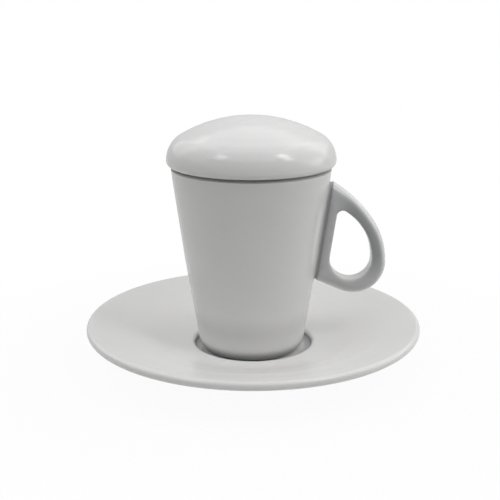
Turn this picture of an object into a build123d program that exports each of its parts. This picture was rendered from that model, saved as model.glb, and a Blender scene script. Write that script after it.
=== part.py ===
from build123d import *
import os
from math import acos, asin, atan2, cos, degrees, hypot, radians, sin, tan

# Lidded porcelain cup on its saucer: a saucer with a sunken well, a tall tapered cup,
# a looped handle joined to its side, and a loose domed lid with a locating flange.
# Millimetres, +Z up. The origin is the middle of the saucer's foot ring, on the table.
# The handle points along +X.

# Saucer
saucer_d = 150.0
rim_top = 19.3            # height at which the dish's face meets the rim's edge, before rounding
saucer_wall = 3.8
saucer_recess = 1.9       # gap between the table and the underside of the well
saucer_fillet = 1.0       # corners on the underside
well_play = 3.5           # from the cup's base out to the wall of the well
well_depth = 3.0
ground_width = 9.5        # level ground from the well out to where it turns up into the dish
foot_step = 2.0           # the foot ring's outside stands this far outside that turn
foot_width = 3.6
flare_width = 19.0        # from the rim in to where the dish eases out
flare_drop = 4.0          # from the rim's top down to that place
lip_share = 0.48          # rounding of the rim, of the wall
foot_round_share = 0.22   # rounding of the foot ring's edges, of its width
well_lip_share = 0.6      # rounding from the well's wall to the level ground, of the well's depth
well_corner_share = 0.32
dish_turn_shares = (0.75, 0.36)   # parts of the level ground and of the dish that the turn takes up
flare_turn_shares = (0.56, 0.6)   # parts of the dish and of the flare that the easing takes up

# Cup
cup_set_off = -0.85       # the cup stands this far to one side within the play of the well
cup_height = 83.55
cup_rim_d = 70.4
cup_base_d = 46.0         # where the wall's line meets the plane of the foot
cup_belly = 0.85          # the two wall lines meet this far outside the straight one, before easing
cup_base_round = 5.2
cup_wall = 3.0
cup_wall_low = 3.6        # wall just above the floor
cup_floor = 5.0
cup_floor_round = 9.0
cup_foot_width = 7.5      # from the base's corner in to the hollow under the foot
cup_recess = 1.5
recess_round_share = 0.45
cup_lip_share = 0.48      # rounding of the rim, of the wall
belly_height_share = 0.5
belly_shares = (0.8, 0.8)         # parts of the two wall lines that the easing takes up
inner_belly_shares = (0.64, 0.64)

# Lid
lid_overhang = 1.8        # of the brim beyond the rim of the cup
lid_rise = 18.9           # from the widest line of the brim to the top
lid_shoulder = 12.3       # radius of the shoulder
lid_brim_round = 2.4
lid_wall = 3.5
lid_seat_gap = 0.1        # between the rim of the cup and the lid's seat
flange_depth = 6.0
flange_wall = 2.8
flange_play = 0.8         # between the flange's foot and the cup's mouth
flange_round = 1.1
flange_corner = 0.8

# Handle, in the cup's upright middle plane
handle_reach = 31.1       # from the wall out to the loop's widest point
handle_low = 25.5         # from the foot of the cup up to the loop's lowest point
handle_top_drop = 6.0     # from the rim down to the upper joint
handle_heel = 6.8         # from the loop's lowest point up to the lower joint
handle_bend = 14.2        # outer radius of the loop's lower corner
handle_depth = 9.0
handle_ring = 6.5         # thickness of the loop at its widest point
handle_sole = 6.9         # thickness of the loop at its lowest point
handle_strip = 5.6        # thickness of the strip along the wall
handle_root = 0.9         # the strip's back lies this far inside the wall's line before it is trimmed
handle_root_round = 1.5
handle_tip_drop = 12.5    # from the upper joint down to the point of the finger hole
handle_tip_round = 2.6
handle_edge_share = 0.46  # rounding of the edges, of the thinnest stretch
back_reach_share = 0.725  # where the back of the loop straightens, of the reach
back_rise_share = 0.64    # and of the height from the lowest point to the upper joint


def easing(before, corner, after, shares):
    """Radius of the arc at a corner that takes up no more than these shares of its two runs."""
    run_in = Vector(*corner) - Vector(*before)
    run_out = Vector(*after) - Vector(*corner)
    turn = run_in.get_angle(run_out)
    return min(shares[0] * run_in.length, shares[1] * run_out.length) / tan(radians(turn) / 2)


# Saucer: one turned piece. The upper face and the underside run a wall apart.
saucer_r = saucer_d / 2
base_r = cup_base_d / 2
well_r = base_r + well_play
well_under_r = well_r + saucer_wall
dish_r = well_r + ground_width
flare_r = saucer_r - flare_width
foot_out_r = dish_r + foot_step
foot_in_r = foot_out_r - foot_width
well_floor_z = saucer_recess + saucer_wall
ground_z = well_floor_z + well_depth
flare_z = rim_top - flare_drop
dish_slope = (flare_z - ground_z) / (flare_r - dish_r)
under_z = ground_z - saucer_wall
lip_round = lip_share * saucer_wall
foot_round = foot_round_share * foot_width

well_edge = (well_r, ground_z)
dish_turn = (dish_r, ground_z)
flare_turn = (flare_r, flare_z)
rim_corner = (saucer_r, rim_top)
rim_under = (saucer_r, rim_top - saucer_wall)
flare_under = (flare_r, flare_z - saucer_wall)
foot_corner = (foot_out_r, under_z + dish_slope * foot_step)
dish_round = easing(well_edge, dish_turn, flare_turn, dish_turn_shares)
flare_round = easing(dish_turn, flare_turn, rim_corner, flare_turn_shares)
flare_under_round = easing(foot_corner, flare_under, rim_under, flare_turn_shares)

saucer_outline = [
    ((0, well_floor_z), 0),
    ((well_r, well_floor_z), well_corner_share * well_depth),
    (well_edge, well_lip_share * well_depth),
    (dish_turn, dish_round),
    (flare_turn, flare_round),
    (rim_corner, lip_round),
    (rim_under, lip_round),
    (flare_under, flare_under_round),
    (foot_corner, saucer_fillet),
    ((foot_out_r, 0), foot_round),
    ((foot_in_r, 0), foot_round),
    ((foot_in_r, under_z), saucer_fillet),
    ((well_under_r, under_z), saucer_fillet),
    ((well_under_r, saucer_recess), saucer_fillet),
    ((0, saucer_recess), 0),
]

with BuildPart() as saucer:
    with BuildSketch(Plane.XZ):
        with BuildLine():
            FilletPolyline(*[point for point, _ in saucer_outline],
                           radius=[rounding for _, rounding in saucer_outline], close=True)
        make_face()
    revolve(axis=Axis.Z)

# Cup body: one turned piece, standing on the floor of the well.
cup_plane = Plane(origin=(cup_set_off, 0, 0), x_dir=(1, 0, 0), z_dir=(0, -1, 0))
cup_axis = Axis((cup_set_off, 0, 0), (0, 0, 1))
rim_r = cup_rim_d / 2
recess_r = base_r - cup_foot_width
foot_z = well_floor_z
rim_z = foot_z + cup_height
floor_z = foot_z + cup_floor
belly_z = foot_z + belly_height_share * cup_height
wall_slope = (rim_r - base_r) / cup_height


def wall_r(height):
    """Radius of the straight line from the cup's base to its rim, at a height."""
    return base_r + wall_slope * (height - foot_z)


base_corner = (base_r, foot_z)
belly_turn = (wall_r(belly_z) + cup_belly, belly_z)
rim_out = (rim_r, rim_z)
rim_in = (rim_r - cup_wall, rim_z)
inner_belly = (belly_turn[0] - (cup_wall + cup_wall_low) / 2, belly_z)
inner_base = (wall_r(floor_z) - cup_wall_low, floor_z)
belly_round = easing(base_corner, belly_turn, rim_out, belly_shares)
inner_belly_round = easing(inner_base, inner_belly, rim_in, inner_belly_shares)
cup_lip = cup_lip_share * cup_wall
recess_round = recess_round_share * cup_recess

outer_wall = [
    (base_corner, cup_base_round),
    (belly_turn, belly_round),
    (rim_out, cup_lip),
]
cup_outline = [
    ((0, foot_z + cup_recess), 0),
    ((recess_r, foot_z + cup_recess), recess_round),
    ((recess_r, foot_z), recess_round),
    *outer_wall,
    (rim_in, cup_lip),
    (inner_belly, inner_belly_round),
    (inner_base, cup_floor_round),
    ((0, floor_z), 0),
]
cup_envelope = [((0, foot_z), 0), *outer_wall, ((0, rim_z), 0)]

with BuildPart() as cup_body:
    with BuildSketch(cup_plane):
        with BuildLine():
            FilletPolyline(*[point for point, _ in cup_outline],
                           radius=[rounding for _, rounding in cup_outline], close=True)
        make_face()
    revolve(axis=cup_axis)

# Handle: a teardrop loop with rounded edges, whose strip is trimmed to the wall of the cup.
wall_tilt = atan2(rim_r - base_r, cup_height)
loop_low_z = foot_z + handle_low
loop_top_z = rim_z - handle_top_drop
loop_rise = loop_top_z - loop_low_z
widest_z = loop_low_z + handle_bend
loop_out = wall_r(widest_z) + handle_reach
back_z = loop_low_z + back_rise_share * loop_rise
heel_z = loop_low_z + handle_heel
tip_z = loop_top_z - handle_tip_drop
root_offset = handle_root / cos(wall_tilt)
strip_offset = handle_strip / cos(wall_tilt)

bend_centre = (loop_out - handle_bend, widest_z)
loop_back = (wall_r(back_z) + back_reach_share * handle_reach, back_z)
upper_joint = (wall_r(loop_top_z) - root_offset, loop_top_z)
lower_joint = (wall_r(heel_z) - root_offset, heel_z)

# The straight sole runs from the lower joint and touches the bend's circle.
joint_x = lower_joint[0] - bend_centre[0]
joint_z = lower_joint[1] - bend_centre[1]
bend_start = degrees(atan2(joint_z, joint_x) + acos(handle_bend / hypot(joint_x, joint_z)))

# The finger hole's round end touches the strip, the sole and the widest stretch of the loop.
hole_low_z = loop_low_z + handle_sole
hole_width = (loop_out - handle_ring - wall_r(hole_low_z)) * cos(wall_tilt) - handle_strip
hole_r = hole_width / (1 + cos(wall_tilt) + sin(wall_tilt))
hole_centre = (loop_out - handle_ring - hole_r, hole_low_z + hole_r)
hole_tip = (wall_r(tip_z) + strip_offset, tip_z)
tilt_angle = degrees(wall_tilt)

with BuildPart() as cup_handle:
    with BuildSketch(cup_plane) as loop:
        with BuildLine():
            bend = CenterArc(bend_centre, handle_bend, bend_start, -bend_start)
            back = TangentArc(bend @ 1, loop_back, tangent=bend % 1)
            crown = TangentArc(back @ 1, upper_joint, tangent=back % 1)
            Polyline(crown @ 1, lower_joint, bend @ 0)
        make_face()
        fillet(loop.vertices().sort_by(Axis.X)[:2], handle_root_round)
    extrude(amount=handle_depth / 2, both=True)
    with BuildSketch(cup_plane) as finger_hole:
        with BuildLine():
            round_end = CenterArc(hole_centre, hole_r, 180 - tilt_angle, 180 + tilt_angle)
            hole_back = TangentArc(round_end @ 1, hole_tip, tangent=(0, 1))
            Line(hole_back @ 1, round_end @ 0)
        make_face()
        fillet(finger_hole.vertices().sort_by(Axis.Y)[-1], handle_tip_round)
    extrude(amount=handle_depth / 2, both=True, mode=Mode.SUBTRACT)
    thinnest = min(loop.wire().distance_to(finger_hole.wire()), handle_depth)
    fillet(cup_handle.edges().filter_by(Plane.XZ), handle_edge_share * thinnest)
    with BuildSketch(cup_plane):
        with BuildLine():
            FilletPolyline(*[point for point, _ in cup_envelope],
                           radius=[rounding for _, rounding in cup_envelope], close=True)
        make_face()
    revolve(axis=cup_axis, mode=Mode.SUBTRACT)

# Lid: a domed shell of even wall. Its flat seat rests on the rim, its flange hangs in the mouth.
lid_r = rim_r + lid_overhang
seat_z = rim_z + lid_seat_gap
brim_z = seat_z + lid_brim_round
shoulder_x = lid_r - lid_shoulder
crown_r = (hypot(shoulder_x, lid_rise) ** 2 - lid_shoulder ** 2) / (2 * (lid_rise - lid_shoulder))
crown_z = brim_z + lid_rise - crown_r
crown_angle = degrees(atan2(brim_z - crown_z, shoulder_x))
flange_foot_z = seat_z - flange_depth
flange_out_r = rim_in[0] - wall_slope * flange_depth - flange_play
flange_in_r = flange_out_r - flange_wall
ledge_z = seat_z + lid_wall
hollow_r = lid_shoulder - lid_wall
ledge_angle = degrees(asin((ledge_z - brim_z) / hollow_r))
ledge_end = (shoulder_x + hollow_r * cos(radians(ledge_angle)), ledge_z)

with BuildPart() as lid:
    with BuildSketch(cup_plane):
        with BuildLine():
            crown_top = CenterArc((0, crown_z), crown_r, 90, crown_angle - 90)
            shoulder = CenterArc((shoulder_x, brim_z), lid_shoulder, crown_angle, -crown_angle)
            brim = CenterArc((lid_r - lid_brim_round, brim_z), lid_brim_round, 0, -90)
            FilletPolyline(
                brim @ 1,
                (flange_out_r, seat_z),
                (flange_out_r, flange_foot_z),
                (flange_in_r, flange_foot_z),
                (flange_in_r, ledge_z),
                ledge_end,
                radius=[flange_corner, flange_round, flange_round, flange_corner],
            )
            hollow_side = CenterArc((shoulder_x, brim_z), hollow_r, ledge_angle, crown_angle - ledge_angle)
            hollow_top = CenterArc((0, crown_z), crown_r - lid_wall, crown_angle, 90 - crown_angle)
            Line(hollow_top @ 1, crown_top @ 0)
        make_face()
    revolve(axis=cup_axis)

os.makedirs("parts", exist_ok=True)
saucer.part.label = "saucer"
cup_body.part.label = "cup_body"
cup_handle.part.label = "cup_handle"
lid.part.label = "lid"
export_step(saucer.part, "parts/saucer.step")
export_step(cup_body.part, "parts/cup_body.step")
export_step(cup_handle.part, "parts/cup_handle.step")
export_step(lid.part, "parts/lid.step")
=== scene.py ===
from math import acos, asin, atan2, ceil, cos, pi, radians, sin, sqrt, tan

import bmesh
import bpy
from mathutils import Matrix, Vector


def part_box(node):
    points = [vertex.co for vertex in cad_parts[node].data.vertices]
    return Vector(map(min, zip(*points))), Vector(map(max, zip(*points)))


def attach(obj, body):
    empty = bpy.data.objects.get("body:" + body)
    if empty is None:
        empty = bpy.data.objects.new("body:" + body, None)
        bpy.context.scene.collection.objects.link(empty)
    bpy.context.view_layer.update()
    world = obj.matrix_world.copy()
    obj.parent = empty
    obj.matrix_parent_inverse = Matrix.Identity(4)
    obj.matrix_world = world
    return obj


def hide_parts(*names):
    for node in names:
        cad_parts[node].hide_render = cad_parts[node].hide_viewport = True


# Glazed porcelain cup with a loose domed lid, on a saucer with a sunken well.
# Metres, +Z up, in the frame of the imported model. The handle points along +X.
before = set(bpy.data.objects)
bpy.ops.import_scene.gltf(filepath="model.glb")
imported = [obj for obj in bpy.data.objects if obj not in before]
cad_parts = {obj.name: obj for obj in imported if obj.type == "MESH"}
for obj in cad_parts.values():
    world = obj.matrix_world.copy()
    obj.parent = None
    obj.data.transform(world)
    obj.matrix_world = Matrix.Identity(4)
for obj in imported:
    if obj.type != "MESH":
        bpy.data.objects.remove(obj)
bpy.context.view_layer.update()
MM = 0.001

# The pieces take their main sizes from the frame
saucer_low, saucer_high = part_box("saucer")
cup_low, cup_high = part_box("cup_body")
lid_low, lid_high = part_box("lid")
handle_low, handle_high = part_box("cup_handle")
SAUCER_R = saucer_high.x
CUP_AXIS_X = (cup_low.x + cup_high.x) / 2
CUP_FOOT_Z = cup_low.z
CUP_RIM_Z = cup_high.z
CUP_HEIGHT = CUP_RIM_Z - CUP_FOOT_Z
LID_R = (lid_high.x - lid_low.x) / 2
LID_TOP_Z = lid_high.z
FLANGE_FOOT_Z = lid_low.z

# Saucer
SAUCER_WALL = 3.8 * MM
SAUCER_RECESS = 1.9 * MM        # gap between the table and the underside of the well
SAUCER_FILLET = 1.0 * MM
RIM_TOP = 19.3 * MM             # where the dish's face meets the rim's edge, before rounding
WELL_DEPTH = 3.0 * MM
WELL_PLAY = 3.5 * MM            # from the cup's base out to the wall of the well
GROUND_WIDTH = 9.5 * MM         # level ground about the well
FOOT_STEP = 2.0 * MM
FOOT_WIDTH = 3.6 * MM
FLARE_WIDTH = 19.0 * MM
FLARE_DROP = 4.0 * MM
DISH_TURN_SHARES = (0.75, 0.36)
FLARE_TURN_SHARES = (0.56, 0.6)
WELL_CORNER_SHARE = 0.32        # rounding at the floor of the well, as a share of its depth
WELL_EDGE_SHARE = 0.6           # and at its upper edge
FOOT_ROUND_SHARE = 0.22         # rounding of the foot ring, as a share of its width
LIP_SHARE = 0.48                # rounding of the saucer's and the cup's rim, as a share of the wall

# Cup
CUP_RIM_R = 35.2 * MM           # where the wall's line meets the plane of the rim
CUP_BASE_R = 23.0 * MM          # and the plane of the foot
CUP_BELLY = 0.85 * MM
CUP_BASE_ROUND = 5.2 * MM
CUP_WALL = 3.0 * MM
CUP_WALL_LOW = 3.6 * MM
CUP_FLOOR = 5.0 * MM
CUP_FLOOR_ROUND = 9.0 * MM
CUP_FOOT_WIDTH = 7.5 * MM
CUP_RECESS = 1.5 * MM
BELLY_SHARES = (0.8, 0.8)
INNER_BELLY_SHARES = (0.64, 0.64)
RECESS_ROUND_SHARE = 0.45       # rounding in the hollow foot, as a share of its depth

# Lid
LID_RISE = 18.9 * MM            # from the widest line of the brim to the top
LID_SHOULDER = 12.3 * MM
LID_BRIM_ROUND = 2.4 * MM
LID_WALL = 3.5 * MM
FLANGE_WALL = 2.8 * MM
FLANGE_DEPTH = 6.0 * MM
FLANGE_PLAY = 0.8 * MM
FLANGE_ROUND = 1.1 * MM
FLANGE_CORNER = 0.8 * MM

# Handle
HANDLE_TOP_DROP = 6.0 * MM      # from the rim down to the upper joint
HANDLE_HEEL = 6.8 * MM          # from the loop's lowest point up to the lower joint
HANDLE_BEND = 14.2 * MM
HANDLE_RING = 6.5 * MM
HANDLE_SOLE = 6.9 * MM
HANDLE_STRIP = 5.6 * MM
HANDLE_ROOT = 0.9 * MM
HANDLE_TIP_DROP = 12.5 * MM
HANDLE_TIP_ROUND = 2.6 * MM
LOOP_OUTER_ROUND = 4.1 * MM     # the loop's back is well rounded
LOOP_INNER_ROUND = 1.7 * MM     # and the edge of the finger hole less so
HANDLE_REACH = 31.1 * MM
BACK_REACH_SHARE = 0.725
BACK_RISE_SHARE = 0.64
ROOT_TAIL = 9.0 * MM            # the loop is drawn this far into the cup, and cut off at the neck
ROOT_TAIL_ROUND = 5.0 * MM
NECK = 1.6 * MM                 # the loop is cut off this far from the wall's line
# Steps from the neck to the wall, in mm: how far the edge grows, and how far the step goes
NECK_STEPS = ((-0.3, 0.15), (-0.2, 0.25), (0.05, 0.3), (0.3, 0.4), (0.5, 0.4), (0.7, 0.4), (0.3, 0.6))

# Places that more than one function uses
WELL_R = CUP_BASE_R + WELL_PLAY
WELL_FLOOR_Z = SAUCER_RECESS + SAUCER_WALL
CUP_FLOOR_Z = CUP_FOOT_Z + CUP_FLOOR
LID_BRIM_Z = LID_TOP_Z - LID_RISE
LID_SEAT_Z = LID_BRIM_Z - LID_BRIM_ROUND
LID_LEDGE_Z = LID_SEAT_Z + LID_WALL
WALL_TILT = atan2(CUP_RIM_R - CUP_BASE_R, CUP_HEIGHT)
HANDLE_LOW_Z = handle_low.z
HANDLE_HALF_DEPTH = (handle_high.y - handle_low.y) / 2

# Fineness of the meshes
ARC_STEP = radians(5)
RUN_STEP = 2.0 * MM
TURNS = 160
EDGE_SEGMENTS = 8
WIRE_GAP = 0.01 * MM            # ends of a wire that are closer than this are joined
MERGE_GAP = 0.001 * MM


class Pen:
    """Draws a wire in the XZ plane: straight runs are extruded from its tip, arcs are spun."""

    def __init__(self, mesh, x, z):
        self.mesh = mesh
        self.tip = mesh.verts.new((x, 0, z))

    @property
    def place(self):
        return Vector((self.tip.co.x, self.tip.co.z))

    def run(self, x, z):
        way = Vector((x, z)) - self.place
        self.tip = bmesh.ops.extrude_vert_indiv(self.mesh, verts=[self.tip])["verts"][0]
        bmesh.ops.translate(self.mesh, verts=[self.tip], vec=(way.x, 0, way.y))

    def arc(self, x, z, angle):
        """An arc about a centre, anticlockwise with X to the right and Z up."""
        steps = max(2, ceil(abs(angle) / ARC_STEP))
        made = bmesh.ops.spin(self.mesh, geom=[self.tip], cent=(x, 0, z), axis=(0, -1, 0),
                              angle=angle, steps=steps)
        self.tip = next(v for v in made["geom_last"] if isinstance(v, bmesh.types.BMVert))

    def sweep(self, heading, x, z):
        """An arc that leaves along a heading and ends at a point. Returns the heading at its end."""
        chord = Vector((x, z)) - self.place
        side = Vector((-heading.y, heading.x))
        radius = chord.length_squared / (2 * chord.dot(side))
        centre = self.place + side * radius
        angle = 2 * atan2(chord.dot(side), chord.dot(heading))
        self.arc(centre.x, centre.y, angle)
        return turned(heading, angle)

    def rounded(self, corners):
        """Runs through corners given as a point and a rounding. The last one is only run to."""
        for (corner, rounding), (after, _) in zip(corners, corners[1:]):
            corner, after = Vector(corner), Vector(after)
            way_in = (corner - self.place).normalized()
            way_out = (after - corner).normalized()
            angle = atan2(way_in.x * way_out.y - way_in.y * way_out.x, way_in.dot(way_out))
            start = corner - way_in * rounding * tan(abs(angle) / 2)
            self.run(*start)
            if rounding:
                side = Vector((-way_in.y, way_in.x)) * (rounding if angle > 0 else -rounding)
                self.arc(*(start + side), angle)
        self.run(*corners[-1][0])


def turned(way, angle):
    return Vector((way.x * cos(angle) - way.y * sin(angle), way.x * sin(angle) + way.y * cos(angle)))


def easing(before, corner, after, shares):
    """Radius of the arc at a corner that takes up no more than these shares of its two runs."""
    run_in = Vector(corner) - Vector(before)
    run_out = Vector(after) - Vector(corner)
    turn = run_in.angle(run_out)
    return min(shares[0] * run_in.length, shares[1] * run_out.length) / tan(turn / 2)


def cut_long_runs(mesh):
    """Halves the edges of a wire until none is longer than the run step."""
    while long_runs := [e for e in mesh.edges if e.is_wire and e.calc_length() > RUN_STEP]:
        bmesh.ops.subdivide_edges(mesh, edges=long_runs, cuts=1)


def close_wire(mesh):
    """Joins the ends of the wire that was drawn last and cuts its long runs. Returns its edges."""
    bmesh.ops.remove_doubles(mesh, verts=[v for v in mesh.verts if v.is_wire], dist=WIRE_GAP)
    cut_long_runs(mesh)
    return [e for e in mesh.edges if e.is_wire]


def fill_between(mesh, edges):
    """Fills a wire, or the flat ring between two wires. The faces look along -Y."""
    made = bmesh.ops.triangle_fill(mesh, edges=edges, normal=(0, -1, 0), use_beauty=True)["geom"]
    return [f for f in made if isinstance(f, bmesh.types.BMFace)]


def everything(mesh):
    return mesh.verts[:] + mesh.edges[:] + mesh.faces[:]


def edge_of(mesh, faces):
    """The edges around a patch of faces."""
    inside = set(faces)
    return [e for e in mesh.edges if sum(f in inside for f in e.link_faces) == 1]


def round_over(mesh, wire, height, rounding, side):
    """Raises a wall from a wire along -Y and rounds it over, in for a side of 1 and out for -1."""
    disc = fill_between(mesh, wire)
    grown = bmesh.ops.extrude_face_region(mesh, geom=disc)["geom"]
    bmesh.ops.delete(mesh, geom=disc, context="FACES")
    disc = [f for f in grown if isinstance(f, bmesh.types.BMFace)]
    bmesh.ops.translate(mesh, verts=[v for v in grown if isinstance(v, bmesh.types.BMVert)],
                        vec=(0, rounding - height, 0))
    for step in range(EDGE_SEGMENTS):
        start, end = (pi / 2 * (step + i) / EDGE_SEGMENTS for i in (0, 1))
        bmesh.ops.inset_region(mesh, faces=disc, thickness=side * rounding * (cos(start) - cos(end)),
                               depth=rounding * (sin(end) - sin(start)), use_even_offset=True)
        edge = edge_of(mesh, disc)
        bmesh.ops.delete(mesh, geom=disc, context="FACES")
        disc = fill_between(mesh, edge)
    bmesh.ops.delete(mesh, geom=disc, context="FACES")
    return edge


def spin_round(mesh, axis_x):
    """Spins the wire once about the upright axis, then sets the shape on its own axis."""
    cut_long_runs(mesh)
    bmesh.ops.spin(mesh, geom=mesh.verts[:] + mesh.edges[:], cent=(0, 0, 0), axis=(0, 0, 1),
                   angle=2 * pi, steps=TURNS, use_merge=True)
    bmesh.ops.remove_doubles(mesh, verts=mesh.verts, dist=MERGE_GAP)
    bmesh.ops.recalc_face_normals(mesh, faces=mesh.faces)
    bmesh.ops.translate(mesh, verts=mesh.verts, vec=(axis_x, 0, 0))


def piece(mesh, name, body, node, material):
    """Makes the mesh a smooth piece that stands for a CAD node and rides on its body."""
    data = bpy.data.meshes.new(name)
    mesh.to_mesh(data)
    mesh.free()
    data.polygons.foreach_set("use_smooth", [True] * len(data.polygons))
    data.materials.append(material)
    made = bpy.data.objects.new(name, data)
    bpy.context.scene.collection.objects.link(made)
    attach(made, body)
    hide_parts(node)


def wall_r(height):
    """Radius of the straight line from the cup's base to its rim."""
    return CUP_BASE_R + (CUP_RIM_R - CUP_BASE_R) * (height - CUP_FOOT_Z) / CUP_HEIGHT


def turn_saucer():
    well_under_r = WELL_R + SAUCER_WALL
    dish_r = WELL_R + GROUND_WIDTH
    flare_r = SAUCER_R - FLARE_WIDTH
    foot_out_r = dish_r + FOOT_STEP
    foot_in_r = foot_out_r - FOOT_WIDTH
    ground_z = WELL_FLOOR_Z + WELL_DEPTH
    under_z = ground_z - SAUCER_WALL
    flare_z = RIM_TOP - FLARE_DROP
    dish_slope = (flare_z - ground_z) / (flare_r - dish_r)
    well_edge = (WELL_R, ground_z)
    dish_turn = (dish_r, ground_z)
    flare_turn = (flare_r, flare_z)
    rim_corner = (SAUCER_R, RIM_TOP)
    rim_under = (SAUCER_R, RIM_TOP - SAUCER_WALL)
    flare_under = (flare_r, flare_z - SAUCER_WALL)
    foot_corner = (foot_out_r, under_z + dish_slope * FOOT_STEP)
    lip = LIP_SHARE * SAUCER_WALL
    foot_round = FOOT_ROUND_SHARE * FOOT_WIDTH

    mesh = bmesh.new()
    Pen(mesh, 0, WELL_FLOOR_Z).rounded([
        ((WELL_R, WELL_FLOOR_Z), WELL_CORNER_SHARE * WELL_DEPTH),
        (well_edge, WELL_EDGE_SHARE * WELL_DEPTH),
        (dish_turn, easing(well_edge, dish_turn, flare_turn, DISH_TURN_SHARES)),
        (flare_turn, easing(dish_turn, flare_turn, rim_corner, FLARE_TURN_SHARES)),
        (rim_corner, lip),
        (rim_under, lip),
        (flare_under, easing(foot_corner, flare_under, rim_under, FLARE_TURN_SHARES)),
        (foot_corner, SAUCER_FILLET),
        ((foot_out_r, 0), foot_round),
        ((foot_in_r, 0), foot_round),
        ((foot_in_r, under_z), SAUCER_FILLET),
        ((well_under_r, under_z), SAUCER_FILLET),
        ((well_under_r, SAUCER_RECESS), SAUCER_FILLET),
        ((0, SAUCER_RECESS), 0),
    ])
    spin_round(mesh, 0)
    return mesh


def turn_cup():
    belly_z = CUP_FOOT_Z + CUP_HEIGHT / 2
    recess_r = CUP_BASE_R - CUP_FOOT_WIDTH
    recess_z = CUP_FOOT_Z + CUP_RECESS
    recess_round = RECESS_ROUND_SHARE * CUP_RECESS
    base_corner = (CUP_BASE_R, CUP_FOOT_Z)
    belly_turn = (wall_r(belly_z) + CUP_BELLY, belly_z)
    rim_out = (CUP_RIM_R, CUP_RIM_Z)
    rim_in = (CUP_RIM_R - CUP_WALL, CUP_RIM_Z)
    inner_belly = (belly_turn[0] - (CUP_WALL + CUP_WALL_LOW) / 2, belly_z)
    inner_base = (wall_r(CUP_FLOOR_Z) - CUP_WALL_LOW, CUP_FLOOR_Z)
    lip = LIP_SHARE * CUP_WALL

    mesh = bmesh.new()
    Pen(mesh, 0, recess_z).rounded([
        ((recess_r, recess_z), recess_round),
        ((recess_r, CUP_FOOT_Z), recess_round),
        (base_corner, CUP_BASE_ROUND),
        (belly_turn, easing(base_corner, belly_turn, rim_out, BELLY_SHARES)),
        (rim_out, lip),
        (rim_in, lip),
        (inner_belly, easing(inner_base, inner_belly, rim_in, INNER_BELLY_SHARES)),
        (inner_base, CUP_FLOOR_ROUND),
        ((0, CUP_FLOOR_Z), 0),
    ])
    spin_round(mesh, CUP_AXIS_X)
    return mesh


def turn_lid():
    shoulder_x = LID_R - LID_SHOULDER
    crown_r = (shoulder_x ** 2 + LID_RISE ** 2 - LID_SHOULDER ** 2) / (2 * (LID_RISE - LID_SHOULDER))
    crown_z = LID_TOP_Z - crown_r
    crown_turn = pi / 2 - atan2(LID_BRIM_Z - crown_z, shoulder_x)
    wall_slope = (CUP_RIM_R - CUP_BASE_R) / CUP_HEIGHT
    flange_out_r = CUP_RIM_R - CUP_WALL - wall_slope * FLANGE_DEPTH - FLANGE_PLAY
    flange_in_r = flange_out_r - FLANGE_WALL
    hollow_r = LID_SHOULDER - LID_WALL
    ledge_angle = asin((LID_LEDGE_Z - LID_BRIM_Z) / hollow_r)
    ledge_end = (shoulder_x + hollow_r * cos(ledge_angle), LID_LEDGE_Z)

    mesh = bmesh.new()
    pen = Pen(mesh, 0, LID_TOP_Z)
    pen.arc(0, crown_z, -crown_turn)
    pen.arc(shoulder_x, LID_BRIM_Z, crown_turn - pi / 2)
    pen.arc(LID_R - LID_BRIM_ROUND, LID_BRIM_Z, -pi / 2)
    pen.rounded([
        ((flange_out_r, LID_SEAT_Z), FLANGE_CORNER),
        ((flange_out_r, FLANGE_FOOT_Z), FLANGE_ROUND),
        ((flange_in_r, FLANGE_FOOT_Z), FLANGE_ROUND),
        ((flange_in_r, LID_LEDGE_Z), FLANGE_CORNER),
        (ledge_end, 0),
    ])
    pen.arc(shoulder_x, LID_BRIM_Z, pi / 2 - crown_turn - ledge_angle)
    pen.arc(0, crown_z, crown_turn)
    spin_round(mesh, CUP_AXIS_X)
    return mesh


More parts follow.
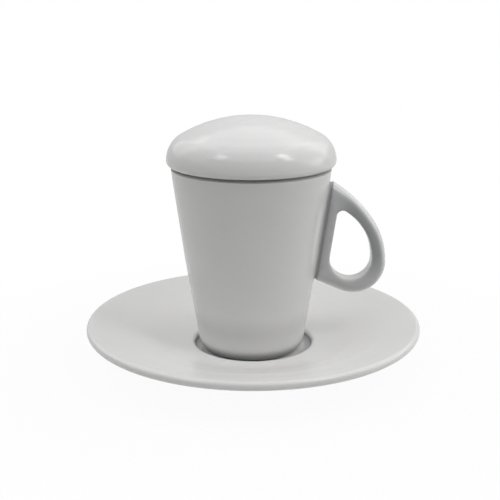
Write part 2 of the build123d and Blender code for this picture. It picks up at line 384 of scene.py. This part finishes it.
def form_handle():
    """A teardrop ring with rounded edges. Its strip is cut off along the neck and drawn out to the wall."""
    top_z = CUP_RIM_Z - HANDLE_TOP_DROP
    widest_z = HANDLE_LOW_Z + HANDLE_BEND
    loop_out = wall_r(widest_z) + HANDLE_REACH
    back_z = HANDLE_LOW_Z + BACK_RISE_SHARE * (top_z - HANDLE_LOW_Z)
    back_x = wall_r(back_z) + BACK_REACH_SHARE * HANDLE_REACH
    heel_z = HANDLE_LOW_Z + HANDLE_HEEL
    root = HANDLE_ROOT / cos(WALL_TILT)
    upper = Vector((wall_r(top_z) - root, top_z))
    lower = Vector((wall_r(heel_z) - root, heel_z))
    bend = Vector((loop_out - HANDLE_BEND, widest_z))

    # The straight sole touches the circle of the bend
    arm = lower - bend
    bend_start = atan2(arm.y, arm.x) + acos(HANDLE_BEND / arm.length)
    sole_end = bend + HANDLE_BEND * turned(Vector((1, 0)), bend_start)

    mesh = bmesh.new()
    pen = Pen(mesh, *sole_end)
    pen.arc(*bend, -bend_start)
    heading = pen.sweep(Vector((0, 1)), back_x, back_z)
    heading = pen.sweep(heading, *upper)
    pen.rounded([
        (upper + heading * ROOT_TAIL, ROOT_TAIL_ROUND),
        (lower + (lower - sole_end).normalized() * ROOT_TAIL, ROOT_TAIL_ROUND),
        (sole_end, 0),
    ])
    back_edge = round_over(mesh, close_wire(mesh), HANDLE_HALF_DEPTH, LOOP_OUTER_ROUND, 1)

    # The finger hole's round end touches the strip, the sole and the widest stretch of the loop
    tip_z = top_z - HANDLE_TIP_DROP
    hole_low_z = HANDLE_LOW_Z + HANDLE_SOLE
    hole_width = (loop_out - HANDLE_RING - wall_r(hole_low_z)) * cos(WALL_TILT) - HANDLE_STRIP
    hole_r = hole_width / (1 + cos(WALL_TILT) + sin(WALL_TILT))
    centre = Vector((loop_out - HANDLE_RING - hole_r, hole_low_z + hole_r))
    tip = Vector((wall_r(tip_z) + HANDLE_STRIP / cos(WALL_TILT), tip_z))
    up_wall = turned(Vector((0, 1)), -WALL_TILT)
    off_wall = turned(Vector((1, 0)), -WALL_TILT)
    hole_start = centre - off_wall * hole_r

    # Its point is rounded by a circle that touches the strip's line and the arc of the loop's inside
    side = Vector((loop_out - HANDLE_RING, centre.y))
    chord = tip - side
    arc_r = -chord.length_squared / (2 * chord.x)
    arc_centre = side - Vector((arc_r, 0))
    reach = tip + off_wall * HANDLE_TIP_ROUND - arc_centre
    along = reach.dot(up_wall)
    rise = sqrt(along ** 2 - reach.length_squared + (arc_r - HANDLE_TIP_ROUND) ** 2) - along
    tip_centre = arc_centre + reach + up_wall * rise
    touch = arc_centre + (tip_centre - arc_centre).normalized() * arc_r
    tip_turn = off_wall.angle_signed(tip_centre - touch)
    pen = Pen(mesh, *hole_start)
    pen.arc(*centre, pi + WALL_TILT)
    pen.sweep(Vector((0, 1)), *touch)
    pen.arc(*tip_centre, abs(tip_turn))
    pen.run(*hole_start)
    hole_edge = round_over(mesh, close_wire(mesh), HANDLE_HALF_DEPTH, LOOP_INNER_ROUND, -1)

    # A flat ring joins the two rounded walls, and its mirror image is the far half
    fill_between(mesh, back_edge + hole_edge)
    bmesh.ops.mirror(mesh, geom=everything(mesh), axis="Y", merge_dist=MERGE_GAP)
    bmesh.ops.recalc_face_normals(mesh, faces=mesh.faces)

    # Cut along the neck, then take the open side in for the groove and out again to the wall
    outward = Vector((cos(WALL_TILT), 0, -sin(WALL_TILT)))
    on_neck = Vector((wall_r(heel_z), 0, heel_z)) + outward * NECK
    bmesh.ops.bisect_plane(mesh, geom=everything(mesh), dist=MERGE_GAP, plane_co=on_neck,
                           plane_no=outward, clear_inner=True)
    cap = bmesh.ops.contextual_create(mesh, geom=[e for e in mesh.edges if e.is_boundary])["faces"]
    middle = cap[0].calc_center_bounds()
    upright = Matrix.Rotation(-WALL_TILT, 4, "Y") @ Matrix.Translation(-middle)
    half_width = max(abs(v.co.y) for v in cap[0].verts)
    half_height = max(abs((upright @ v.co).z) for v in cap[0].verts)
    for grow, depth in NECK_STEPS:
        grown = bmesh.ops.extrude_face_region(mesh, geom=cap)["geom"]
        bmesh.ops.delete(mesh, geom=cap, context="FACES_ONLY")
        cap = [f for f in grown if isinstance(f, bmesh.types.BMFace)]
        edge = cap[0].verts[:]
        bmesh.ops.scale(mesh, verts=edge, space=upright,
                        vec=(1, 1 + grow * MM / half_width, 1 + grow * MM / half_height))
        bmesh.ops.translate(mesh, verts=edge, vec=outward * -depth * MM)
    bmesh.ops.recalc_face_normals(mesh, faces=mesh.faces)
    bmesh.ops.translate(mesh, verts=mesh.verts, vec=(CUP_AXIS_X, 0, 0))
    return mesh


class Wire:
    """A node's output. Arithmetic on wires adds Math nodes."""

    def __init__(self, finish, socket):
        self.finish = finish
        self.socket = socket

    def maths(self, operation, first, second):
        return self.finish.add("ShaderNodeMath", {"operation": operation}, {0: first, 1: second})

    def __add__(self, other):
        return self.maths("ADD", self, other)

    __radd__ = __add__

    def __mul__(self, other):
        return self.maths("MULTIPLY", self, other)

    __rmul__ = __mul__

    def __sub__(self, other):
        return self.maths("SUBTRACT", self, other)

    def __rsub__(self, other):
        return self.maths("SUBTRACT", other, self)

    def __abs__(self):
        return self.finish.add("ShaderNodeMath", {"operation": "ABSOLUTE"}, {0: self})


class Finish:
    """A node tree that is filled by one method: the node's settings first, then its sockets."""

    def __init__(self, tree):
        self.tree = tree
        tree.nodes.clear()

    def add(self, kind, settings=None, sockets=None, output=0):
        node = self.tree.nodes.new(kind)
        for name, value in (settings or {}).items():
            setattr(node, name, value)
        for key, value in (sockets or {}).items():
            if isinstance(value, Wire):
                self.tree.links.new(value.socket, node.inputs[key])
            else:
                node.inputs[key].default_value = value
        return Wire(self, node.outputs[output] if node.outputs else None)


def material_finish(name):
    material = bpy.data.materials.new(name)
    material.use_nodes = True
    return material, Finish(material.node_tree)


# Glaze and bare clay
GLAZE_WARM = (0.812, 0.806, 0.790, 1)
GLAZE_COOL = (0.788, 0.788, 0.780, 1)
PAINTED_SHADE_GREY = (0.300, 0.305, 0.312, 1)   # painted shade: the corners of the well and the cup's floor, the cup's base and lower wall, and the lid's ledge
HANDLE_SHADE = (0.350, 0.356, 0.361, 1)   # painted shade on the handle's flat sides and in its joint's groove
GLAZE_PALE = (0.868, 0.860, 0.846, 1)     # thin glaze shows the cream of the clay; on the saucer's face about the well the same colour is painted light
# bare clay, its grey darkened as painted shade for the seam where the lid sits on the cup; the same grey on
# the feet
BISCUIT_AND_SHADE = (0.480, 0.476, 0.470, 1)
GLAZE_IOR = 1.5
SATIN = 0.13                    # roughness of the glaze
SAUCER_SATIN = 0.18
CLOUD_ROUGHNESS = 0.05          # added where the clouds are full
THIN_ROUGHNESS = 0.02           # where the glaze is paler: thin glaze, and the painted light about the saucer's well
BARE_ROUGHNESS = 0.5            # and where it is wiped off
CLOUD_SCALE = 26.0
CLOUD_DETAIL = 3.0
CLOUD_GRAIN = 0.55
CLOUD_COOL = 0.3                # value of the clouds where the glaze is cool
CLOUD_WARM = 0.7
PEEL_SCALE = 420.0
PEEL_DETAIL = 1.0
PEEL_DEPTH = 0.2 * MM
PEEL_STRENGTH = 0.04
WIPED = 0.5 * MM                # glaze is wiped off about this far above a foot
WIPED_END = 1.2 * WIPED
WIPED_FULL = 0.9 * WIPED

# Where the saucer has painted shade, painted light and thin glaze
WELL_SHADE = 0.8
WELL_SHADE_START = 6.0 * MM      # inward from the wall of the well
WELL_SHADE_FULL = 2.0 * MM
WELL_SHADE_TOP = 0.8 * WELL_DEPTH     # up from the well's floor
WELL_SHADE_TOP_FULL = 0.3 * WELL_DEPTH
WELL_UNDER_END = 0.7 * SAUCER_WALL   # below the well's floor, so that the underside stays plain
WELL_UNDER_FULL = 0.3 * SAUCER_WALL
# painted light on the saucer's face about the well, where the cup's shade falls
FACE_LIT = 0.9
FACE_LIT_END = 5.0 * GROUND_WIDTH   # outward from the wall of the well
FACE_LIT_FULL = 2.0 * GROUND_WIDTH
EDGE_THIN = 0.5
EDGE_THIN_START = 2.2 * MM      # inward from the saucer's edge
EDGE_THIN_FULL = 0.4 * MM

# The same for the cup: painted shade in its floor's corner, on its base and lower wall, thin glaze, and the
# bare part of its rim
FLOOR_SHADE = 0.3
FLOOR_SHADE_INSET = 3.0 * MM     # inward from the foot of the inner wall
FLOOR_SHADE_REACH = 5.0 * MM
FLOOR_SHADE_RISE = 5.0 * MM
INNER_WALL_EASE = 1.0 * MM
BASE_SHADE_RISE = 6.2 * MM       # up from the foot
BASE_SHADE_FULL = 1.4 * MM
LOW_WALL_SHADE = 0.25
LOW_WALL_RISE = 13.0 * MM
LOW_WALL_REACH = 10.0 * MM
RIM_THIN = 0.5
RIM_THIN_DROP = 1.6 * MM        # down from the rim
RIM_THIN_REACH = 1.2 * MM
RIM_BARE_DROP = 1.2 * MM
RIM_BARE_FULL = 0.9 * MM

# For the handle's painted shade and thin glaze
JOINT_OFF_WALL = 0.9 * MM       # middle of the joint's groove, off the wall's line
JOINT_REACH = 1.4 * MM
SIDE_START = 0.6 * HANDLE_HALF_DEPTH
SIDE_SHADE = 0.54
OUTER_SHADE = 0.46               # more painted shade on the upper and outer bars
UPPER_START = 4.0 * MM          # up from the loop's lowest point
UPPER_FULL = 20.0 * MM
OUTER_START = 4.0 * MM          # off the wall's line
OUTER_FULL = 14.0 * MM
MIDDLE_THIN = 0.4

# For the lid, inward from the brim's widest line: painted shade on the ledge in its hollow, thin glaze on
# the brim, and the bare part of its seat
LEDGE_SHADE = 0.5
LEDGE_SHADE_REACH = 1.5 * MM
LEDGE_SHADE_START = 2.5 * MM
LEDGE_SHADE_FULL = 4.0 * MM
BRIM_THIN = 0.6
BRIM_THIN_START = 1.6 * MM
BRIM_THIN_FULL = 0.2 * MM
SEAT_BARE_REACH = 1.0 * MM
SEAT_BARE_START = 0.8 * MM
SEAT_BARE_FULL = 1.6 * MM


def ease(f, value, low, high):
    """A soft step from 0 at one value to 1 at the other."""
    return f.add("ShaderNodeMapRange", {"interpolation_type": "SMOOTHSTEP"},
                 {"Value": value, "From Min": low, "From Max": high})


def band(f, value, middle, reach):
    """1 at the middle value, easing to 0 at this reach to both sides."""
    return ease(f, value, middle - reach, middle) * ease(f, value, middle + reach, middle)


def mixed(f, share, first, second):
    """A mix of two colours, whose sockets on the Mix node are told apart by number."""
    return f.add("ShaderNodeMix", {"data_type": "RGBA"}, {0: share, 6: first, 7: second}, output=2)


class Surface:
    """Where a point of a piece is, the soft clouds in its glaze and the fine waves of its skin."""

    def __init__(self, f, axis_x):
        self.place = f.add("ShaderNodeTexCoord", output="Object")
        self.height = f.add("ShaderNodeSeparateXYZ", sockets={0: self.place}, output="Z")
        level = f.add("ShaderNodeVectorMath", {"operation": "MULTIPLY_ADD"},
                      {0: self.place, 1: (1, 1, 0), 2: (-axis_x, 0, 0)})
        self.radius = f.add("ShaderNodeVectorMath", {"operation": "LENGTH"}, {0: level}, output="Value")
        self.cloud = f.add("ShaderNodeTexNoise", sockets={
            "Vector": self.place, "Scale": CLOUD_SCALE, "Detail": CLOUD_DETAIL, "Roughness": CLOUD_GRAIN})
        self.peel = f.add("ShaderNodeTexNoise", sockets={
            "Vector": self.place, "Scale": PEEL_SCALE, "Detail": PEEL_DETAIL})


def porcelain(name, masks, axis_x=CUP_AXIS_X, shade_tint=PAINTED_SHADE_GREY, satin=SATIN):
    """White clay under clear glaze. The masks say where shade is painted in, where the glaze is paler (thin
    glaze, and painted light on the saucer) and where it is wiped off to bare clay.
    """
    material, f = material_finish(name)
    at = Surface(f, axis_x)
    painted_shade, paler, wiped = masks(f, at)
    tint = mixed(f, ease(f, at.cloud, CLOUD_COOL, CLOUD_WARM), GLAZE_COOL, GLAZE_WARM)
    # Painted shade goes into the glaze's colour here, then the paler glaze with its painted light, then
    # bare clay
    tint = mixed(f, painted_shade, tint, shade_tint)
    tint = mixed(f, paler, tint, GLAZE_PALE)
    tint = mixed(f, wiped, tint, BISCUIT_AND_SHADE)
    roughness = satin + CLOUD_ROUGHNESS * at.cloud + THIN_ROUGHNESS * paler + BARE_ROUGHNESS * wiped
    peel = f.add("ShaderNodeBump", sockets={
        "Strength": PEEL_STRENGTH, "Distance": PEEL_DEPTH, "Height": at.peel})
    body = f.add("ShaderNodeBsdfPrincipled", sockets={
        "Base Color": tint, "Roughness": roughness, "IOR": GLAZE_IOR, "Normal": peel})
    f.add("ShaderNodeOutputMaterial", sockets={"Surface": body})
    return material


def wiped_foot(f, wavy_height, foot_z):
    """Bare clay up to a wavy line a little above a foot."""
    return ease(f, wavy_height, foot_z + WIPED_END, foot_z + WIPED_FULL)


def saucer_masks(f, at):
    # Painted shade in the corner of the well, round the cup's base
    below_edge = ease(f, at.height, WELL_FLOOR_Z + WELL_SHADE_TOP, WELL_FLOOR_Z + WELL_SHADE_TOP_FULL)
    above_underside = ease(f, at.height, WELL_FLOOR_Z - WELL_UNDER_END, WELL_FLOOR_Z - WELL_UNDER_FULL)
    corner = ease(f, at.radius, WELL_R - WELL_SHADE_START, WELL_R - WELL_SHADE_FULL)
    painted_shade = WELL_SHADE * corner * (below_edge * above_underside)
    # Painted light on the face about the well, lifting the cup's shade; thin glaze at the edge
    lit_about_well = ease(f, at.radius, WELL_R + FACE_LIT_END, WELL_R + FACE_LIT_FULL) * (1 - painted_shade)
    edge = ease(f, at.radius, SAUCER_R - EDGE_THIN_START, SAUCER_R - EDGE_THIN_FULL)
    paler = FACE_LIT * lit_about_well + EDGE_THIN * edge
    wiped = wiped_foot(f, at.height + WIPED * at.cloud, saucer_low.z)
    return painted_shade, paler, wiped


def cup_masks(f, at):
    # Painted shade in the corner of the inner floor, on the rounding of the base and, weaker, in a band on
    # the lower wall
    floor_r = wall_r(CUP_FLOOR_Z) - CUP_WALL_LOW
    inside = ease(f, at.radius, floor_r + INNER_WALL_EASE, floor_r)
    corner = band(f, at.radius, floor_r - FLOOR_SHADE_INSET, FLOOR_SHADE_REACH)
    corner = corner * ease(f, at.height, CUP_FLOOR_Z + FLOOR_SHADE_RISE, CUP_FLOOR_Z)
    base = ease(f, at.height, CUP_FOOT_Z + BASE_SHADE_RISE, CUP_FOOT_Z + BASE_SHADE_FULL)
    low_wall = band(f, at.height, CUP_FOOT_Z + LOW_WALL_RISE, LOW_WALL_REACH)
    painted_shade = FLOOR_SHADE * corner * inside + (base + LOW_WALL_SHADE * low_wall) * (1 - inside)
    paler = RIM_THIN * band(f, at.height, CUP_RIM_Z - RIM_THIN_DROP, RIM_THIN_REACH)
    wavy_height = at.height + WIPED * at.cloud
    # Bare clay on the rim; its grey is painted shade for the seam under the lid
    bare_rim = ease(f, wavy_height, CUP_RIM_Z - RIM_BARE_DROP, CUP_RIM_Z - RIM_BARE_FULL)
    return painted_shade, paler, wiped_foot(f, wavy_height, CUP_FOOT_Z) + bare_rim


def handle_masks(f, at):
    across = (cos(WALL_TILT), 0, -sin(WALL_TILT))
    foot_of_wall = (CUP_AXIS_X + CUP_BASE_R, 0, CUP_FOOT_Z)
    from_wall = f.add("ShaderNodeVectorMath", {"operation": "SUBTRACT"}, {0: at.place, 1: foot_of_wall})
    off_wall = f.add("ShaderNodeVectorMath", {"operation": "DOT_PRODUCT"}, {0: from_wall, 1: across},
                     output="Value")
    # Painted shade in the joint's groove and on the flat sides, darkest on the upper and outer bars
    joint = band(f, off_wall, JOINT_OFF_WALL, JOINT_REACH)
    depth = abs(f.add("ShaderNodeSeparateXYZ", sockets={0: at.place}, output="Y"))
    flat_side = ease(f, depth, SIDE_START, HANDLE_HALF_DEPTH)
    upper = ease(f, at.height, HANDLE_LOW_Z + UPPER_START, HANDLE_LOW_Z + UPPER_FULL)
    outer = ease(f, off_wall, OUTER_START, OUTER_FULL)
    painted_shade = joint + (1 - joint) * flat_side * (SIDE_SHADE + OUTER_SHADE * upper * outer)
    paler = MIDDLE_THIN * ease(f, depth, SIDE_START, 0) * (1 - joint)
    return painted_shade, paler, 0


def lid_masks(f, at):
    # Painted shade on the ledge inside the lid
    ledge = band(f, at.height, LID_LEDGE_Z, LEDGE_SHADE_REACH)
    painted_shade = LEDGE_SHADE * ledge * ease(f, at.radius, LID_R - LEDGE_SHADE_START, LID_R - LEDGE_SHADE_FULL)
    paler = BRIM_THIN * ease(f, at.radius, LID_R - BRIM_THIN_START, LID_R - BRIM_THIN_FULL)
    # Bare clay on the seat; its grey is painted shade for the seam
    seat = band(f, at.height, LID_SEAT_Z, SEAT_BARE_REACH)
    wiped = seat * ease(f, at.radius, LID_R - SEAT_BARE_START, LID_R - SEAT_BARE_FULL)
    return painted_shade, paler, wiped


# Studio
WHITE = (1, 1, 1, 1)
WORLD_FILL = 0.11
MIRRORED_WHITE = 0.6            # the glaze mirrors a pale studio, a little darker than the background
WORLD_TINT = (0.94, 0.97, 1.0, 1)
FLOOR_HALF_SIDE = 15.0
PAPER_NEAR = (0.82, 0.82, 0.82, 1)
PAPER_FAR = (0.48, 0.48, 0.48, 1)
PAPER_WHITE = 0.95              # share of plain white that the paper shows near the saucer
SHADOW_START = 0.08             # the shadow on the paper fades from this reach
SHADOW_END = 0.18               # and is gone at this one


def seen_rays(f):
    """1 for what the camera or a clear body shows, less for a reflection, 0 for light that is gathered."""
    camera = f.add("ShaderNodeLightPath", output="Is Camera Ray")
    glossy = f.add("ShaderNodeLightPath", output="Is Glossy Ray")
    clear = f.add("ShaderNodeLightPath", output="Is Transmission Ray")
    return f.add("ShaderNodeMath", {"operation": "ADD", "use_clamp": True},
                 {0: camera + MIRRORED_WHITE * glossy, 1: clear})


def lay_floor():
    mesh = bmesh.new()
    bmesh.ops.create_grid(mesh, x_segments=2, y_segments=2, size=FLOOR_HALF_SIDE)
    data = bpy.data.meshes.new("studio_floor")
    mesh.to_mesh(data)
    mesh.free()
    floor = bpy.data.objects.new("studio_floor", data)
    bpy.context.scene.collection.objects.link(floor)
    material, f = material_finish("white_paper")
    place = f.add("ShaderNodeTexCoord", output="Object")
    reach = f.add("ShaderNodeVectorMath", {"operation": "LENGTH"}, {0: place}, output="Value")
    away = ease(f, reach, SHADOW_START, SHADOW_END)
    white_share = PAPER_WHITE + (1 - PAPER_WHITE) * away
    paper = f.add("ShaderNodeBsdfDiffuse", sockets={"Color": mixed(f, away, PAPER_NEAR, PAPER_FAR)})
    white = f.add("ShaderNodeEmission", sockets={"Color": WHITE, "Strength": 1.0})
    shown = f.add("ShaderNodeMixShader", sockets={0: white_share * seen_rays(f), 1: paper, 2: white})
    f.add("ShaderNodeOutputMaterial", sockets={"Surface": shown})
    data.materials.append(material)


def light_world():
    world = bpy.data.worlds.new("studio")
    bpy.context.scene.world = world
    world.use_nodes = True
    f = Finish(world.node_tree)
    seen = seen_rays(f)
    strength = WORLD_FILL + (1 - WORLD_FILL) * seen
    colour = mixed(f, seen, WORLD_TINT, WHITE)
    sky = f.add("ShaderNodeBackground", sockets={"Color": colour, "Strength": strength})
    f.add("ShaderNodeOutputWorld", sockets={"Surface": sky})


LAMP_TARGET = Vector((0, 0, 0.06))


def around(turn, rise, distance):
    """A place seen from the lamps' target: degrees round to the camera's right, degrees up, and how far."""
    turn = radians(turn)
    rise = radians(rise)
    way = Vector((sin(turn) * cos(rise), -cos(turn) * cos(rise), sin(rise)))
    return LAMP_TARGET + way * distance


LAMPS = {
    # name: (place, width, height, watts)
    "front_top_softbox": ((0, -0.2, 0.72), 0.9, 0.33, 0.66),
    "front_softbox": (around(0, 50, 0.78), 0.8, 0.24, 0.66),
    "overhead_softbox": ((0, 0.22, 0.75), 0.86, 0.8, 1.48),
    "left_panel": (around(-95, 43, 0.7), 0.68, 0.6, 0.84),
    "left_back_panel": (around(-130, 30, 0.7), 0.46, 0.46, 0.46),
    "right_panel": (around(100, 37, 0.7), 0.8, 0.72, 1.36),
    "right_low_panel": (around(95, 10, 0.7), 0.3, 0.25, 0.32),
    "right_back_panel": (around(130, 30, 0.7), 0.36, 0.36, 0.28),
    "right_strip": (around(58, 47, 0.8), 0.15, 0.36, 1.02),
    "left_strip": (around(-52, 49, 0.8), 0.18, 0.22, 0.46),
}


def hang_lamps():
    for name, (place, width, height, watts) in LAMPS.items():
        light = bpy.data.lights.new(name, "AREA")
        light.shape = "RECTANGLE"
        light.size = width
        light.size_y = height
        light.energy = watts
        lamp = bpy.data.objects.new(name, light)
        lamp.location = place
        lamp.rotation_euler = (LAMP_TARGET - Vector(place)).to_track_quat("-Z", "Y").to_euler()
        bpy.context.scene.collection.objects.link(lamp)


# Camera, fitted to the photo
CAMERA_PLACE = (0, -0.40888, 0.1647)
CAMERA_TILT = 0.272             # radians down from level
CAMERA_SENSOR = 36
CAMERA_LENS = 68.4
CAMERA_SHIFT_X = -0.0065
CAMERA_CLIP_START = 0.01


def set_camera():
    data = bpy.data.cameras.new("camera")
    data.sensor_width = CAMERA_SENSOR
    data.lens = CAMERA_LENS
    data.shift_x = CAMERA_SHIFT_X
    data.clip_start = CAMERA_CLIP_START
    camera = bpy.data.objects.new("camera", data)
    camera.location = CAMERA_PLACE
    camera.rotation_euler = (pi / 2 - CAMERA_TILT, 0, 0)
    bpy.context.scene.collection.objects.link(camera)
    bpy.context.scene.camera = camera


piece(turn_saucer(), "saucer_dish", "saucer", "saucer",
      porcelain("saucer_glaze", saucer_masks, axis_x=0, satin=SAUCER_SATIN))
piece(turn_cup(), "cup_beaker", "cup", "cup_body", porcelain("cup_glaze", cup_masks))
piece(form_handle(), "handle_loop", "cup", "cup_handle",
      porcelain("handle_glaze", handle_masks, shade_tint=HANDLE_SHADE))
piece(turn_lid(), "lid_dome", "lid", "lid", porcelain("lid_glaze", lid_masks))
lay_floor()
light_world()
hang_lamps()
set_camera()
bpy.context.scene.view_settings.view_transform = "Standard"
